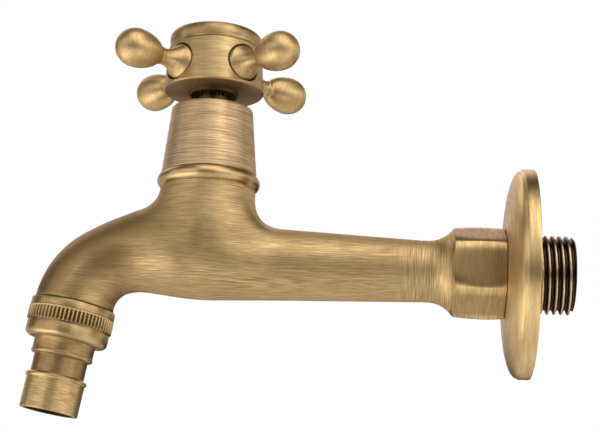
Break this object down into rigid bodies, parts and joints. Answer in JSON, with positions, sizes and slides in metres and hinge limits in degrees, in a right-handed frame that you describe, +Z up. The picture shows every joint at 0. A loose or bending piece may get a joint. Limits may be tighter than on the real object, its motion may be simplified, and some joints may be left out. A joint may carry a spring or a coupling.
{
  "type": "bib tap",
  "caption": "Wall-mounted bib tap with a cross handle, ceramic-disc valve, down-turned spout, domed wall flange and a hose tail held by a knurled union nut.",
  "frame": {"origin": "centre of the inlet thread in the plane of the wall, which is the wall flange's back face", "axes": "+X along the inlet into the wall, with the spout towards -X; +Z up along the neck and the handle's axis; +Y to the left of someone facing the wall"},
  "size_m": [0.1455, 0.056, 0.1081],
  "materials": {
    "brass_antique": "antique brushed brass, lacquered",
    "brass_turned": "antique brass with fine turning marks",
    "brass_plain": "machined brass",
    "steel": "stainless steel",
    "ceramic": "lapped white ceramic",
    "rubber": "black rubber",
    "plastic": "low-friction white plastic"
  },
  "bodies": {
    "fixed": {"body": "brass_antique", "wall_flange": "brass_antique", "bead_ring": "brass_turned", "bonnet": "brass_turned", "valve_housing": "brass_plain", "body_washer": "rubber", "seat_gasket": "rubber", "fixed_disc": "ceramic", "thrust_washer": "plastic"},
    "handle": {"hub_shell": "brass_turned", "hub_core": "brass_plain", "handle_screw": "steel", "hub_cap": "brass_turned", "spoke_left_front": "brass_turned", "spoke_right_front": "brass_turned", "spoke_right_back": "brass_turned", "spoke_left_back": "brass_turned", "spindle": "brass_plain", "spindle_ring_low": "rubber", "spindle_ring_high": "rubber", "moving_disc": "ceramic", "circlip": "steel"},
    "tail": {"hose_tail": "brass_antique", "tail_washer": "rubber"},
    "nut": {"union_nut": "brass_antique"}
  },
  "joints": [
    {"name": "handle_turn", "type": "hinge", "parent": "fixed", "child": "handle", "pos_m": [-0.0876, 0, 0.035], "axis": [0, 0, 1], "range_deg": [0, 90]},
    {"name": "tail_slide", "type": "slide", "parent": "fixed", "child": "tail", "axis": [-0.165, 0, -0.9863], "range_m": [0, 0.00544]},
    {"name": "nut_turn", "type": "hinge", "parent": "tail", "child": "nut", "pos_m": [-0.12287, 0, -0.01723], "axis": [-0.165, 0, -0.9863], "range_deg": [0, 1080]}
  ],
  "couplings": [
    {"joint": "tail_slide", "follows": "nut_turn", "m_per_rad": 0.00028871}
  ]
}
